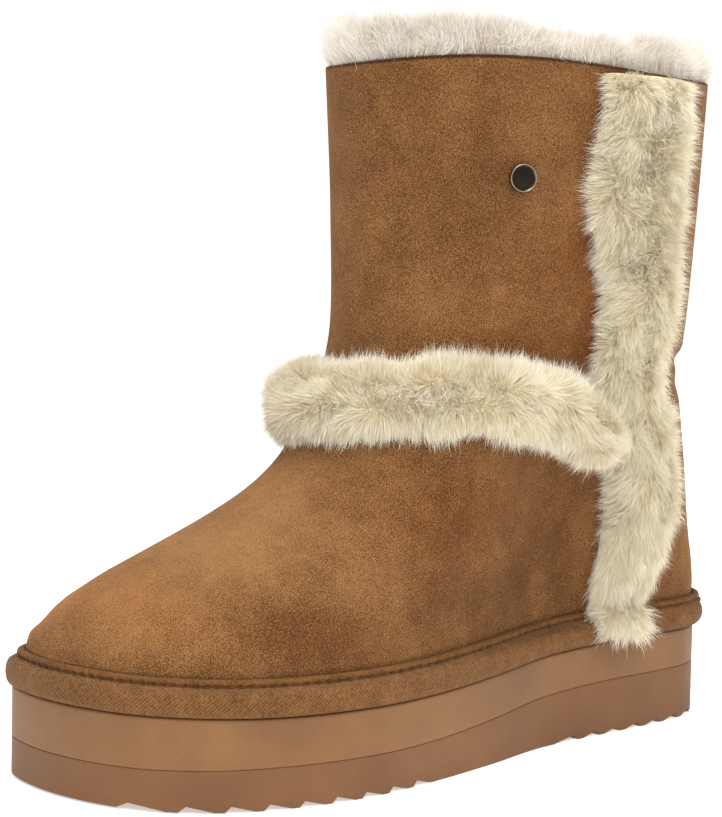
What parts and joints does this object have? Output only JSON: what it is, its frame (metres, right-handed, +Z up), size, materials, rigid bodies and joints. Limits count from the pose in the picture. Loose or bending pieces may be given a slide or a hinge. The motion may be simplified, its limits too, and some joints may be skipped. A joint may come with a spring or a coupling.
{
  "type": "sheepskin boot",
  "caption": "Left ankle boot of suede sheepskin on a low platform sole, with a fleece collar, an upright fleece strip, a fleece band round the ankle and a small metal stud.",
  "frame": {"origin": "middle of the boot's box, on the floor", "axes": "+Z up, -Y towards the toe, +X towards the outer side of the foot"},
  "size_m": [0.1208, 0.2758, 0.2477],
  "materials": {
    "outsole": "moulded foam, matt, warm brown",
    "midsole": "moulded foam, matt, warm brown",
    "binding": "woven twill tape, brown",
    "insole": "fleece sock, cream",
    "upper": "suede sheepskin, chestnut brown",
    "fur_collar": "sheepskin fleece, cream",
    "fur_strip": "sheepskin fleece, cream",
    "fur_band": "sheepskin fleece, cream",
    "stud": "dark gunmetal with a bright rim"
  },
  "bodies": {
    "root": {"outsole": "outsole", "midsole": "midsole", "binding": "binding", "insole": "insole", "upper": "upper", "fur_collar": "fur_collar", "fur_strip": "fur_strip", "fur_band": "fur_band", "stud": "stud"}
  },
  "joints": []
}
